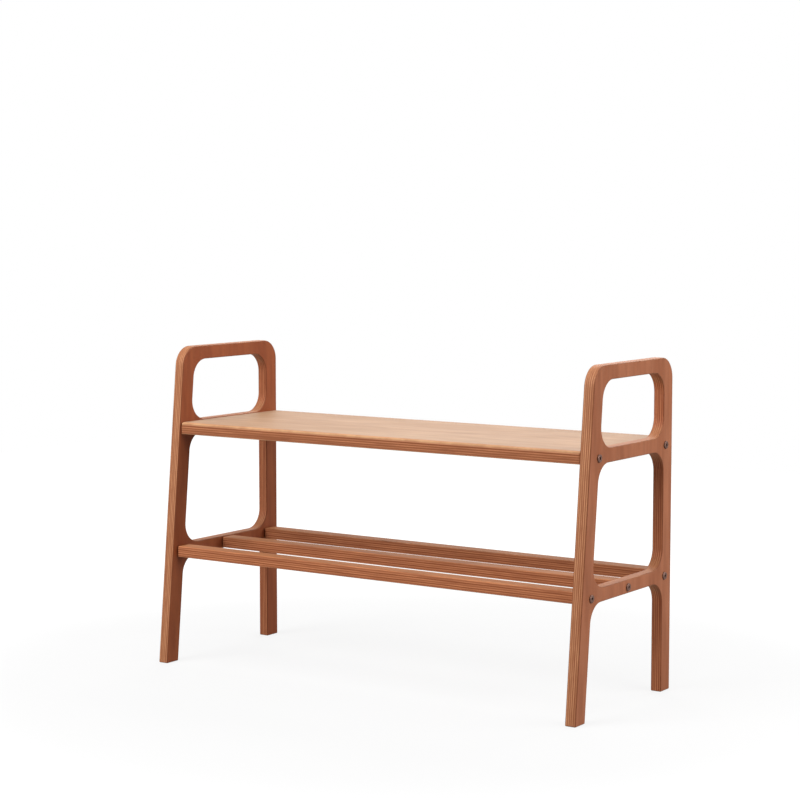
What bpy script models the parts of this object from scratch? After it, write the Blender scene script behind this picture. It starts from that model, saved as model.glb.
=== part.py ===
"""Plywood shoe bench: two side frames joined by a seat board and a rack of three rails.

Metres, +Z up, front towards -Y, origin on the floor under the middle of the bench.
"""

import math

import bmesh
import bpy
from mathutils import Vector

# Overall sizes
OVERALL_WIDTH = 0.800
OVERALL_HEIGHT = 0.5295
DEPTH_AT_FLOOR = 0.3054
DEPTH_AT_TOP = 0.2525
PLY_THICKNESS = 0.018

# Side frames, whose bars rise a little above the boards behind them
LEG_WIDTH = 0.0293
TOP_BAR_HEIGHT = 0.0227
SEAT_BAR_HEIGHT = 0.0223
SEAT_BAR_RISE = 0.0013
RACK_BAR_HEIGHT = 0.0216
RACK_BAR_RISE = 0.0013
OUTER_RADIUS = 0.034
OPENING_RADIUS = 0.0322
SHORTEST_STRAIGHT = 0.001
FRAME_EASE = 0.0016
FRAME_EASE_STEPS = 2
CORNER_STEPS = 8

# Seat board
SEAT_TOP = 0.4038
SEAT_THICKNESS = 0.020
SEAT_FRONT_SETBACK = 0.0019
SEAT_BACK_SETBACK = 0.001
SEAT_TOP_ROUND = 0.006
SEAT_LOWER_EASE = 0.0015
SEAT_END_EASE = 0.0028

# Rack rails
RACK_TOP = 0.1958
RAIL_THICKNESS = 0.0184
RAIL_WIDTH = 0.0284
RAIL_FRONT_SETBACK = 0.0092
RAIL_BACK_SETBACK = 0.0104
RAIL_TOP_ROUND = 0.002
RAIL_LOWER_EASE = 0.0015
RAIL_END_EASE = 0.0042
BOARD_ROUND_STEPS = 3

# Connector bolts
BOLT_HEAD_DIAMETER = 0.0125
BOLT_FACE_DIAMETER = 0.010
BOLT_HEAD_HEIGHT = 0.0021
BOLT_RIM_HEIGHT = 0.0010
BOLT_SHANK_DIAMETER = 0.006
BOLT_SHANK_LENGTH = 0.040
BOLT_TIP_CHAMFER = 0.0008
SOCKET_ACROSS_FLATS = 0.004
SOCKET_DEPTH = 0.003
BOLT_FRONT_INSET = 0.0265
BOLT_BACK_INSET = 0.0226
BOLT_DROP = 0.0017

# Threaded inserts in the ends of the boards
INSERT_DIAMETER = 0.0095
INSERT_LENGTH = 0.015
INSERT_SINK = 0.0005
INSERT_RIBS = 3
INSERT_RIB_SHARE = 0.6
INSERT_GROOVE_SHARE = 0.8
INSERT_GROOVE_DEPTH = 0.0006

# Dowels that locate the seat board
DOWEL_DIAMETER = 0.008
DOWEL_LENGTH = 0.030
DOWEL_IN_FRAME = 0.010
DOWEL_CHAMFER = 0.001
DOWEL_SPREAD = 0.104

# Clearances, and the fineness of the shapes
FIT_GAP = 0.0003
BORE_END_ROOM = 0.001
DRILL_OVERRUN = 0.002
WELD_DISTANCE = 0.00001
ROUND_STEPS = 16
SHARP_ANGLE = math.radians(35)
EASED_ANGLE = math.radians(60)
FLAT_ANGLE = math.radians(1)

# Colours, in linear light
FRAME_COLOUR = (0.38, 0.15, 0.08)
SEAT_COLOUR = (0.42, 0.18, 0.09)
RAIL_COLOUR = (0.36, 0.14, 0.07)
BOLT_COLOUR = (0.20, 0.14, 0.13)
INSERT_COLOUR = (0.60, 0.44, 0.20)
DOWEL_COLOUR = (0.60, 0.40, 0.24)

# Places that follow from the sizes above
BACK_Y = DEPTH_AT_FLOOR / 2
FRAME_INNER_X = OVERALL_WIDTH / 2 - PLY_THICKNESS
BOARD_END_X = FRAME_INNER_X - FIT_GAP
BOLT_X = OVERALL_WIDTH / 2 + FIT_GAP
SEAT_HEIGHT = SEAT_TOP - SEAT_THICKNESS / 2
RACK_HEIGHT = RACK_TOP - RAIL_THICKNESS / 2
SEAT_BOLT_HEIGHT = SEAT_HEIGHT - BOLT_DROP
RAIL_BOLT_HEIGHT = RACK_HEIGHT - BOLT_DROP


def front_y(height):
    """Front edge of a side frame, which leans back from the floor to the top."""
    lean = (DEPTH_AT_FLOOR - DEPTH_AT_TOP) / OVERALL_HEIGHT
    return BACK_Y - DEPTH_AT_FLOOR + lean * height


def rail_places():
    """Middle of each rail along Y, by name."""
    front = front_y(RACK_HEIGHT) + RAIL_FRONT_SETBACK + RAIL_WIDTH / 2
    rear = BACK_Y - RAIL_BACK_SETBACK - RAIL_WIDTH / 2
    return {"rail_front": front, "rail_middle": (front + rear) / 2, "rail_rear": rear}


def rail_bolt_places():
    """Bolts of the rails along Y, by the names of the rails."""
    return {
        "rail_front": front_y(RACK_HEIGHT) + BOLT_FRONT_INSET,
        "rail_middle": rail_places()["rail_middle"],
        "rail_rear": BACK_Y - BOLT_BACK_INSET,
    }


def seat_bolt_places():
    """Bolts of the seat board along Y, by name."""
    return {
        "seat_front": front_y(SEAT_HEIGHT) + BOLT_FRONT_INSET,
        "seat_rear": BACK_Y - BOLT_BACK_INSET,
    }


def dowel_places():
    """Dowels of the seat board along Y, by name, between its bolts."""
    middle = sum(seat_bolt_places().values()) / 2
    return {"front": middle - DOWEL_SPREAD / 2, "rear": middle + DOWEL_SPREAD / 2}


def new_collection(name):
    collection = bpy.data.collections.new(name)
    bpy.context.scene.collection.children.link(collection)
    return collection


def new_material(name, colour, roughness, metallic):
    material = bpy.data.materials.new(name)
    material.use_nodes = True
    shader = material.node_tree.nodes["Principled BSDF"]
    shader.inputs["Base Color"].default_value = (*colour, 1.0)
    shader.inputs["Roughness"].default_value = roughness
    shader.inputs["Metallic"].default_value = metallic
    return material


def add_object(name, data, collection, material=None):
    piece = bpy.data.objects.new(name, data)
    collection.objects.link(piece)
    if material and not data.materials:
        data.materials.append(material)
    return piece


def add_cut(target, cutter):
    """Cut a cutter out of a target, and let it follow the target."""
    cutter.parent = target
    cutter.matrix_parent_inverse = target.matrix_basis.inverted()
    cutter.hide_render = True
    cutter.display_type = "WIRE"
    cut = target.modifiers.new(cutter.name, "BOOLEAN")
    cut.object = cutter
    cut.operation = "DIFFERENCE"
    cut.solver = "EXACT"


def evaluated_mesh(piece):
    """Bake an object and its modifiers into a welded mesh, and remove the object."""
    bpy.context.view_layer.update()
    graph = bpy.context.evaluated_depsgraph_get()
    mesh = bpy.data.meshes.new_from_object(piece.evaluated_get(graph))
    mesh.name = piece.name
    bpy.data.objects.remove(piece, do_unlink=True)
    shape = bmesh.new()
    shape.from_mesh(mesh)
    bmesh.ops.remove_doubles(shape, verts=shape.verts, dist=WELD_DISTANCE)
    shape.to_mesh(mesh)
    shape.free()
    return mesh


def rounded_outline(corners):
    """Outline through (y, z, radius) corners, with an arc at each corner that has a radius.

    An arc is kept small enough to leave a straight between it and the next.
    """
    outline = []
    for index, (y, z, radius) in enumerate(corners):
        corner = Vector((y, z))
        if radius == 0:
            outline.append(corner)
            continue
        to_last = Vector(corners[index - 1][:2]) - corner
        to_next = Vector(corners[(index + 1) % len(corners)][:2]) - corner
        half_angle = to_last.angle(to_next) / 2
        room = (min(to_last.length, to_next.length) - SHORTEST_STRAIGHT) / 2
        radius = min(radius, room * math.tan(half_angle))
        to_last.normalize()
        to_next.normalize()
        centre = corner + (to_last + to_next).normalized() * radius / math.sin(half_angle)
        start = corner + to_last * radius / math.tan(half_angle) - centre
        end = corner + to_next * radius / math.tan(half_angle) - centre
        turn = math.atan2(start.x * end.y - start.y * end.x, start.dot(end))
        first = math.atan2(start.y, start.x)
        for step in range(CORNER_STEPS + 1):
            angle = first + turn * step / CORNER_STEPS
            outline.append(centre + radius * Vector((math.cos(angle), math.sin(angle))))
    return outline


def frame_outlines():
    """Outer outline of a side frame, which takes in the gap between its feet, and its two openings."""
    back = BACK_Y - LEG_WIDTH
    seat_bar_top = SEAT_TOP + SEAT_BAR_RISE
    rack_bar_top = RACK_TOP + RACK_BAR_RISE
    rack_bar_bottom = rack_bar_top - RACK_BAR_HEIGHT

    def opening(bottom, top):
        return [
            (back, bottom, OPENING_RADIUS),
            (back, top, OPENING_RADIUS),
            (front_y(top) + LEG_WIDTH, top, OPENING_RADIUS),
            (front_y(bottom) + LEG_WIDTH, bottom, OPENING_RADIUS),
        ]

    outer = [
        (BACK_Y, 0.0, 0),
        (BACK_Y, OVERALL_HEIGHT, OUTER_RADIUS),
        (front_y(OVERALL_HEIGHT), OVERALL_HEIGHT, OUTER_RADIUS),
        (front_y(0.0), 0.0, 0),
        (front_y(0.0) + LEG_WIDTH, 0.0, 0),
        (front_y(rack_bar_bottom) + LEG_WIDTH, rack_bar_bottom, OPENING_RADIUS),
        (back, rack_bar_bottom, OPENING_RADIUS),
        (back, 0.0, 0),
    ]
    handle = opening(seat_bar_top, OVERALL_HEIGHT - TOP_BAR_HEIGHT)
    middle = opening(rack_bar_top, seat_bar_top - SEAT_BAR_HEIGHT)
    return [rounded_outline(corners) for corners in (outer, handle, middle)]


def turned_mesh(name, profile, collection, closed=False):
    """Turn a profile of (radius, height) points, listed from the top down its outer side, about Z."""
    mesh = bpy.data.meshes.new(name)
    edges = [(index, index + 1) for index in range(len(profile) - 1)]
    if closed:
        edges.append((len(profile) - 1, 0))
    mesh.from_pydata([(radius, 0.0, height) for radius, height in profile], edges, [])
    piece = add_object(name, mesh, collection)
    turn = piece.modifiers.new("turn", "SCREW")
    turn.steps = ROUND_STEPS
    turn.render_steps = ROUND_STEPS
    turn.use_merge_vertices = True
    turn.merge_threshold = WELD_DISTANCE
    turned = evaluated_mesh(piece)
    turned.shade_smooth()
    turned.set_sharp_from_angle(angle=SHARP_ANGLE)
    return turned


def rotation_along_x(side):
    """Turn that lays the Z axis of a turned piece along +X or -X."""
    return (0.0, side * math.pi / 2, 0.0)


def straight_bore(radius, depth):
    """Profile of a drilled hole, from just outside a face down to its depth."""
    return [(0.0, DRILL_OVERRUN), (radius, DRILL_OVERRUN), (radius, -depth), (0.0, -depth)]


def insert_bore():
    """Profile of the stepped hole in a board's end: the insert's seat, then room for the bolt's tip."""
    wide = INSERT_DIAMETER / 2 + FIT_GAP
    narrow = BOLT_SHANK_DIAMETER / 2 + FIT_GAP
    step = INSERT_SINK + INSERT_LENGTH + FIT_GAP
    tip = BOLT_SHANK_LENGTH - (BOLT_X - BOARD_END_X)
    depth = max(tip, step) + BORE_END_ROOM
    return straight_bore(wide, step)[:3] + [(narrow, -step), (narrow, -depth), (0.0, -depth)]


def add_drill(name, profile, place, side, target, cutters):
    """Drill a turned hole into a target, with its mouth at a place and facing +X or -X."""
    drill = add_object(name, turned_mesh(name, profile, cutters), cutters)
    drill.location = place
    drill.rotation_euler = rotation_along_x(side)
    add_cut(target, drill)


def build_frame(name, side, material, parts, cutters):
    """Side frame cut from one board: outline, eased edges, bolt holes and blind dowel holes."""
    curve = bpy.data.curves.new(name, "CURVE")
    curve.dimensions = "2D"
    curve.fill_mode = "BOTH"
    curve.extrude = PLY_THICKNESS / 2
    for outline in frame_outlines():
        spline = curve.splines.new("POLY")
        spline.points.add(len(outline) - 1)
        for slot, point in zip(spline.points, outline):
            slot.co = (point.x, point.y, 0.0, 1.0)
        spline.use_cyclic_u = True
    mesh = evaluated_mesh(add_object(name, curve, parts))
    bpy.data.curves.remove(curve)
    shape = bmesh.new()
    shape.from_mesh(mesh)
    bmesh.ops.dissolve_limit(shape, angle_limit=FLAT_ANGLE, verts=shape.verts, edges=shape.edges)
    shape.to_mesh(mesh)
    shape.free()
    frame = add_object(name, mesh, parts, material)
    frame.rotation_euler = (math.pi / 2, 0.0, math.pi / 2)
    frame.location.x = side * (OVERALL_WIDTH - PLY_THICKNESS) / 2
    ease = frame.modifiers.new("ease", "BEVEL")
    ease.width = FRAME_EASE
    ease.segments = FRAME_EASE_STEPS
    ease.limit_method = "ANGLE"
    ease.angle_limit = EASED_ANGLE
    bolt_hole = straight_bore(BOLT_SHANK_DIAMETER / 2 + FIT_GAP, PLY_THICKNESS + DRILL_OVERRUN)
    for places, height in ((seat_bolt_places(), SEAT_BOLT_HEIGHT), (rail_bolt_places(), RAIL_BOLT_HEIGHT)):
        for place, y in places.items():
            mouth = (side * OVERALL_WIDTH / 2, y, height)
            add_drill(f"cut_{name}_{place}", bolt_hole, mouth, side, frame, cutters)
    dowel_hole = straight_bore(DOWEL_DIAMETER / 2 + FIT_GAP, DOWEL_IN_FRAME + FIT_GAP)
    for place, y in dowel_places().items():
        mouth = (side * FRAME_INNER_X, y, SEAT_BOLT_HEIGHT)
        add_drill(f"cut_{name}_dowel_{place}", dowel_hole, mouth, -side, frame, cutters)


def build_board(name, front, back, height, thickness, top_round, lower_ease, end_ease, material, parts):
    """Board between the side frames, with rounded upper and end edges and eased lower edges."""
    shape = bmesh.new()
    bmesh.ops.create_cube(shape, size=1.0)
    bmesh.ops.scale(shape, vec=(2 * BOARD_END_X, back - front, thickness), verts=shape.verts)
    widest = max(top_round, lower_ease, end_ease)
    weight = shape.edges.layers.float.new("bevel_weight_edge")
    for edge in shape.edges:
        start, end = (vert.co for vert in edge.verts)
        if start.z < 0 and end.z < 0:
            edge[weight] = lower_ease / widest
        elif start.x == end.x:
            edge[weight] = end_ease / widest
        else:
            edge[weight] = top_round / widest
    mesh = bpy.data.meshes.new(name)
    shape.to_mesh(mesh)
    shape.free()
    board = add_object(name, mesh, parts, material)
    board.location = (0.0, (front + back) / 2, height)
    rounding = board.modifiers.new("rounding", "BEVEL")
    rounding.width = widest
    rounding.segments = BOARD_ROUND_STEPS
    rounding.limit_method = "WEIGHT"
    return board


def bolt_mesh(material, cutters):
    """Connector bolt, head up, with the underside of its head at zero and a hexagon socket."""
    head = BOLT_HEAD_DIAMETER / 2
    shank = BOLT_SHANK_DIAMETER / 2
    profile = [
        (0.0, BOLT_HEAD_HEIGHT),
        (BOLT_FACE_DIAMETER / 2, BOLT_HEAD_HEIGHT),
        (head, BOLT_RIM_HEIGHT),
        (head, 0.0),
        (shank, 0.0),
        (shank, BOLT_TIP_CHAMFER - BOLT_SHANK_LENGTH),
        (shank - BOLT_TIP_CHAMFER, -BOLT_SHANK_LENGTH),
        (0.0, -BOLT_SHANK_LENGTH),
    ]
    bolt = add_object("bolt", turned_mesh("bolt", profile, cutters), cutters, material)
    socket = bpy.data.meshes.new("cut_bolt_socket")
    shape = bmesh.new()
    corner = SOCKET_ACROSS_FLATS / math.sqrt(3)
    bmesh.ops.create_cone(
        shape, cap_ends=True, segments=6, radius1=corner, radius2=corner, depth=2 * SOCKET_DEPTH)
    shape.to_mesh(socket)
    shape.free()
    hexagon = add_object("cut_bolt_socket", socket, cutters)
    hexagon.location.z = BOLT_HEAD_HEIGHT
    add_cut(bolt, hexagon)
    mesh = evaluated_mesh(bolt)
    bpy.data.objects.remove(hexagon, do_unlink=True)
    return mesh


def insert_mesh(cutters):
    """Threaded insert, a ribbed sleeve with its mouth at zero."""
    outer = INSERT_DIAMETER / 2
    bore = BOLT_SHANK_DIAMETER / 2 + FIT_GAP
    pitch = INSERT_LENGTH / INSERT_RIBS
    profile = [(bore, 0.0)]
    for rib in range(INSERT_RIBS):
        top = -rib * pitch
        profile.append((outer, top))
        profile.append((outer, top - pitch * INSERT_RIB_SHARE))
        profile.append((outer - INSERT_GROOVE_DEPTH, top - pitch * INSERT_GROOVE_SHARE))
    profile.append((outer, -INSERT_LENGTH))
    profile.append((bore, -INSERT_LENGTH))
    return turned_mesh("insert", profile, cutters, closed=True)


def dowel_mesh(cutters):
    """Dowel with chamfered ends, its middle at zero."""
    half = DOWEL_LENGTH / 2
    radius = DOWEL_DIAMETER / 2
    tip = radius - DOWEL_CHAMFER
    profile = [(0.0, half), (tip, half), (radius, half - DOWEL_CHAMFER)]
    profile += [(r, -z) for r, z in reversed(profile)]
    return turned_mesh("dowel", profile, cutters)


def main():
    for old in list(bpy.data.objects):
        bpy.data.objects.remove(old, do_unlink=True)
    parts = new_collection("shoe_bench")
    cutters = new_collection("cutters")
    frame_ply = new_material("frame_plywood", FRAME_COLOUR, 0.45, 0.0)
    seat_ply = new_material("seat_plywood", SEAT_COLOUR, 0.38, 0.0)
    rail_ply = new_material("rail_plywood", RAIL_COLOUR, 0.42, 0.0)
    bolt_metal = new_material("bolt_metal", BOLT_COLOUR, 0.40, 1.0)
    insert_metal = new_material("insert_metal", INSERT_COLOUR, 0.35, 1.0)
    dowel_wood = new_material("dowel_wood", DOWEL_COLOUR, 0.60, 0.0)

    seat = build_board(
        "seat_board", front_y(SEAT_HEIGHT) + SEAT_FRONT_SETBACK, BACK_Y - SEAT_BACK_SETBACK, SEAT_HEIGHT,
        SEAT_THICKNESS, SEAT_TOP_ROUND, SEAT_LOWER_EASE, SEAT_END_EASE, seat_ply, parts)
    held = [(place, y, SEAT_BOLT_HEIGHT, seat) for place, y in seat_bolt_places().items()]
    for name, y in rail_places().items():
        rail = build_board(
            name, y - RAIL_WIDTH / 2, y + RAIL_WIDTH / 2, RACK_HEIGHT,
            RAIL_THICKNESS, RAIL_TOP_ROUND, RAIL_LOWER_EASE, RAIL_END_EASE, rail_ply, parts)
        held.append((name, rail_bolt_places()[name], RAIL_BOLT_HEIGHT, rail))

    bolts = bolt_mesh(bolt_metal, cutters)
    inserts = insert_mesh(cutters)
    dowels = dowel_mesh(cutters)
    dowel_bore = straight_bore(DOWEL_DIAMETER / 2 + FIT_GAP, DOWEL_LENGTH - DOWEL_IN_FRAME)
    for side_name, side in (("left", -1), ("right", 1)):
        build_frame(f"side_frame_{side_name}", side, frame_ply, parts, cutters)
        for place, y, height, board in held:
            name = f"{place}_{side_name}"
            end = (side * BOARD_END_X, y, height)
            add_drill(f"cut_insert_{name}", insert_bore(), end, side, board, cutters)
            bolt = add_object(f"bolt_{name}", bolts, parts)
            bolt.location = (side * BOLT_X, y, height)
            bolt.rotation_euler = rotation_along_x(side)
            insert = add_object(f"insert_{name}", inserts, parts, insert_metal)
            insert.location = (side * (BOARD_END_X - INSERT_SINK), y, height)
            insert.rotation_euler = rotation_along_x(side)
        for place, y in dowel_places().items():
            name = f"seat_{place}_{side_name}"
            end = (side * BOARD_END_X, y, SEAT_BOLT_HEIGHT)
            add_drill(f"cut_dowel_{name}", dowel_bore, end, side, seat, cutters)
            dowel = add_object(f"dowel_{name}", dowels, parts, dowel_wood)
            dowel.location = (side * (FRAME_INNER_X + DOWEL_IN_FRAME - DOWEL_LENGTH / 2), y, SEAT_BOLT_HEIGHT)
            dowel.rotation_euler = rotation_along_x(side)


main()
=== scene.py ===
"""Looks of a stained plywood shoe bench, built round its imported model.

Metres, +Z up, front towards -Y, origin on the floor under the middle of the bench.
"""

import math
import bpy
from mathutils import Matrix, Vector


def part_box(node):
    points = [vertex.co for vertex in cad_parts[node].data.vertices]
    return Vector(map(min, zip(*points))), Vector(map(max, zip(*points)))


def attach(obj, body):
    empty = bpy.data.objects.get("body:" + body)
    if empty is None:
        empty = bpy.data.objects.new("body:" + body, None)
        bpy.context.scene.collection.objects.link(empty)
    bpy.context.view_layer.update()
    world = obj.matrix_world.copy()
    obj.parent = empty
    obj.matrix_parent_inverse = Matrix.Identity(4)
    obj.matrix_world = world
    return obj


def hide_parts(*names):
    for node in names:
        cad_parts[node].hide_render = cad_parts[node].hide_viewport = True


bl_info = {
    "name": "Shoe Bench Looks",
    "version": (1, 0, 0),
    "blender": (4, 5, 0),
    "location": "View3D > Sidebar > Shoe Bench",
    "description": "Builds the pieces of a plywood shoe bench and a studio round them",
    "category": "Object",
}

import bmesh
import bpy
from bpy.props import FloatProperty, FloatVectorProperty, IntProperty, PointerProperty
from bpy.types import Operator, Panel, PropertyGroup
from mathutils import Matrix, Vector

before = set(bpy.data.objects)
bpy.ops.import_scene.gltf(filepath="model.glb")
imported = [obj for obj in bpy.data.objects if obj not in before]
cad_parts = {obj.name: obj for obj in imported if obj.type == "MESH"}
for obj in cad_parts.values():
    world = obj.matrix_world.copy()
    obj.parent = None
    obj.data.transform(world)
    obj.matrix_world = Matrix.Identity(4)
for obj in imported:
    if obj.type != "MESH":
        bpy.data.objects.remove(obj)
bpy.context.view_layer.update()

BODY = "root"
SIDES = {"left": -1, "right": 1}
RAILS = ("rail_front", "rail_middle", "rail_rear")
SEAT_FIXINGS = ("seat_front", "seat_rear")
BOLTED = (*SEAT_FIXINGS, *RAILS)
FRAME_LOW, FRAME_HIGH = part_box("side_frame_right")

WELD = 1e-6  # points closer than this are one
THROUGH = 0.002  # how far a drill comes out of the wood
SOCKET_SIDES = 6
SHARP = math.radians(40)  # edges of a bolt that turn further are sharp
WHITE = (1.0, 1.0, 1.0)
UPRIGHT = Matrix(((0, 0, 1), (0, -1, 0), (1, 0, 0))).to_euler()  # face grain up Z, plies through X

# Periods per metre along the face grain, across it and through the board
WAVER = (7, 7, 7)
FINE_FIBRES = (30, 650, 650)
BROAD_FIBRES = (16, 110, 420)
STAIN_CLOUDS = (6, 40, 40)
MOTTLE = (12, 95, 95)
ARRIS_PATCHES = (60, 60, 60)
BOLT_SPOTS = (900, 900, 900)
BRASS_SPOTS = (500, 500, 500)
DOWEL_GRAIN = (40, 900, 900)
CLOUDY = 3.0  # detail of the patchy ones
MOTTLE_ROUGHNESS = 0.6

# How far each swings the place of a ply, a tone or a roughness
WAVER_SWING = 0.0006
PLY_SWING = 0.30
BROAD_STREAK, FINE_STREAK = 1.6, 0.7
GLUE_SHADE = 0.20
FACE_MOTTLE, FACE_BROAD, FACE_FINE = 0.35, 0.30, 0.16
FIBRE_ROUGHNESS, END_ROUGHNESS = 0.16, 0.10
SPOT_ROUGHNESS = 0.1

# Where each sets in and where it is full, and for the patches on the arrises how far they go
GLUE_LINE = (0.36, 0.5)  # from the middle of a ply, in plies
WALL_SHADE_REACH = (0.085, 0.12)  # painted shade on the walls of the openings: from the middle of a frame to the walls that face it, in metres
STAIN_RANGE = (0.32, 0.68)
FACE_TURN = (0.80, 0.99)  # how squarely a surface faces out of the board
ARRIS_PATCH_RANGE = (0.3, 0.7, 0.6, 1.0)
SPOT_RANGE = (0.3, 0.7)
SPOT_ROUGH_RANGE = (0.2, 0.8)
LEAST_FLAT = 0.001  # keeps a division from zero
ARRIS_GAIN = 4.0  # brings the middle of an arris to one

WOOD_BUMP = {"Strength": 0.12, "Distance": 0.0004}
SPOT_BUMP = {"Strength": 0.1, "Distance": 0.0002}
FRAME_SEED, SEAT_SEED, RAIL_SEED = 11.0, 31.0, 53.0

FLOOR_HALF = 2.8
FLOOR_DROP = 0.0004
LAMP_AIM = Vector((0.0, 0.0, 0.25))
LAMPS = {  # place, width and height of each soft box
    "key": ((-1.2, -2.7, 1.75), (2.0, 2.0)),
    "side": ((2.9, 0.5, 1.5), (3.4, 2.0)),
    "top": ((0.0, -1.1, 2.8), (2.4, 2.0)),
    "back": ((-0.4, 2.0, 1.9), (3.0, 1.6)),
}


# ---------------------------------------------------------------- settings


def length(name, description, default):
    """Setting in metres."""
    return FloatProperty(
        name=name, description=description, default=default, min=0.0, precision=4, unit="LENGTH")


def colour(name, description, default):
    """Setting for a colour."""
    return FloatVectorProperty(
        name=name, description=description, default=default, size=3, min=0.0, max=1.0,
        subtype="COLOR")


def share(name, description, default):
    """Setting from nothing to one."""
    return FloatProperty(
        name=name, description=description, default=default, min=0.0, max=1.0, subtype="FACTOR")


def power(name, description, default):
    """Setting in watts."""
    return FloatProperty(name=name, description=description, default=default, min=0.0, unit="POWER")


def count(name, description, default, least):
    """Setting for a whole number."""
    return IntProperty(name=name, description=description, default=default, min=least)


class FrameSizes(PropertyGroup):
    """Sizes of a side frame."""

    depth_at_top: length("Depth at the top", "Depth of the frame at its top edge", 0.2525)
    leg_width: length("Leg width", "Width of the front and back legs", 0.0293)
    top_bar: length("Top bar", "Height of the handle bar", 0.0227)
    seat_bar: length("Seat bar", "Height of the bar that carries the seat", 0.0223)
    seat_bar_top: length(
        "Seat bar top", "Height of the seat bar's upper edge above the floor", 0.4051)
    rack_bar: length("Rack bar", "Height of the bar that carries the rails", 0.0216)
    rack_bar_top: length(
        "Rack bar top", "Height of the rack bar's upper edge above the floor", 0.1971)
    outer_radius: length("Outer radius", "Radius of the two upper corners", 0.034)
    opening_radius: length("Opening radius", "Radius of the corners of the openings", 0.0322)
    ease: length("Ease", "Radius of the eased arrises", 0.0016)
    ease_steps: count("Ease steps", "Facets round an eased arris", 4, 1)
    corner_steps: count("Corner steps", "Facets round a corner", 20, 2)


class BoardSizes(PropertyGroup):
    """Roundings of the seat board and the rails."""

    seat_round: length("Seat rounding", "Radius of the seat's long upper edges", 0.006)
    seat_end: length("Seat end rounding", "Radius of the edges at the seat's ends", 0.0028)
    rail_round: length("Rail rounding", "Radius of a rail's long upper edges", 0.002)
    rail_end: length("Rail end rounding", "Radius of the edges at a rail's ends", 0.0042)
    lower_ease: length("Lower ease", "Radius of the lower edges", 0.0015)
    round_steps: count("Rounding steps", "Facets round an edge", 6, 1)


class FixingSizes(PropertyGroup):
    """Sizes of the connector bolts and of the holes for the hidden fixings."""

    head: length("Head", "Diameter of the bolt head", 0.0125)
    face: length("Head face", "Diameter of the flat on the bolt head", 0.0096)
    head_height: length("Head height", "Height of the bolt head", 0.0021)
    rim_height: length("Rim height", "Height of the straight rim of the bolt head", 0.0008)
    rim_ease: length("Rim ease", "Chamfer under the rim of the bolt head", 0.0003)
    shank: length("Shank", "Diameter of the bolt's shank", 0.006)
    tip: length("Tip", "Chamfer at the bolt's tip", 0.0008)
    socket: length("Socket", "Hexagon socket, across its flats", 0.004)
    socket_depth: length("Socket depth", "Depth of the hexagon socket", 0.003)
    socket_lip: length("Socket lip", "Chamfer round the hexagon socket", 0.0003)
    gap: length("Gap", "Room round the bolts, inserts and dowels", 0.0003)
    bolt_sides: count("Bolt sides", "Facets round a bolt", 48, 8)
    dome_steps: count("Dome steps", "Facets from the flat of the bolt head to its rim", 5, 1)
    hole_sides: count("Hole sides", "Facets round the hole of a hidden fixing", 24, 8)
    seed: count("Seed", "Seed for how far each bolt is turned", 7, 0)


class WoodFinish(PropertyGroup):
    """Stained plywood."""

    face: colour("Face", "Stained face veneer of the right frame", (0.332, 0.118, 0.0545))
    face_deep: colour("Deep face", "The same where it took more stain", (0.265, 0.0835, 0.034))
    # Painted shade: the left frame's faces are a darker, redder copy of the right frame's, for the
    # shade on its inner face
    shaded_left_face: colour("Left face", "Face veneer of the left frame", (0.274, 0.0735, 0.024))
    shaded_left_deep: colour("Deep left face", "The same where it took more stain", (0.223, 0.053, 0.0163))
    # Painted sheen: the seat's face colours are paler than the frames' to stand in for the sheen on
    # its grazing top
    sheen_seat_face: colour("Seat face", "Face veneer of the seat", (0.371, 0.224, 0.133))
    sheen_seat_deep: colour("Deep seat face", "The same where it took more stain", (0.326, 0.186, 0.104))
    rail_face: colour("Rail face", "Face veneer of the rails", (0.350, 0.138, 0.050))
    rail_deep: colour("Deep rail face", "The same where it took more stain", (0.295, 0.108, 0.037))
    light_ply: colour("Light ply", "Lightest plies along the frames", (0.498, 0.228, 0.110))
    dark_ply: colour("Dark ply", "Darkest plies along the frames", (0.203, 0.052, 0.0155))
    seat_light: colour("Light seat ply", "Lightest plies along the seat", (0.452, 0.176, 0.079))
    seat_dark: colour("Dark seat ply", "Darkest plies along the seat", (0.175, 0.048, 0.018))
    rail_light: colour("Light rail ply", "Lightest plies along the rails", (0.50, 0.190, 0.084))
    rail_dark: colour("Dark rail ply", "Darkest plies along the rails", (0.20, 0.053, 0.020))
    # Painted highlight: a pale colour laid on the rounded edges of the seat and the rails, for the
    # light they catch from above
    painted_edge_highlight: colour("Worn", "Rubbed edges of the seat and the rails", (0.57, 0.33, 0.17))
    # The arrises of the frames are coloured darker than their faces
    stained: colour(
        "Stained", "Arrises of the frames, where the stain gathered", (0.12, 0.030, 0.011))
    # Painted shade: a darker, redder tint on the walls of the frames' openings, for the shade
    # inside them
    inside: colour(
        "Inside", "Tint of the stain on the walls of the frames' openings", (0.96, 0.78, 0.72))
    plies: count("Plies", "Veneers in a board", 11, 3)
    contrast: share("Ply contrast", "How far the plies differ along the frames and the seat", 0.45)
    rail_contrast: share("Rail ply contrast", "How far the plies differ along the rails", 0.5)
    roughness: share("Roughness", "Roughness of the finish on the frames and the seat", 0.55)
    gloss: share("Gloss", "Strength of the gloss on the frames", 0.20)
    seat_gloss: share("Seat gloss", "Strength of the gloss on the seat", 0.14)
    rail_roughness: share("Rail roughness", "Roughness of the duller finish on the rails", 0.6)
    rail_gloss: share("Rail gloss", "Strength of the gloss on the rails", 0.12)
    # How far the arrises of the frames are coloured darker
    frame_arris_darkening: share("Frame arris", "How far the stain shows on the arrises of the frames", 0.75)
    # How far the painted highlight covers the edges of the seat and of the rails
    seat_edge_highlight: share("Seat arris", "How far the edges of the seat are rubbed", 0.85)
    rail_edge_highlight: share("Rail arris", "How far the edges of the rails are rubbed", 0.1)


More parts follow.
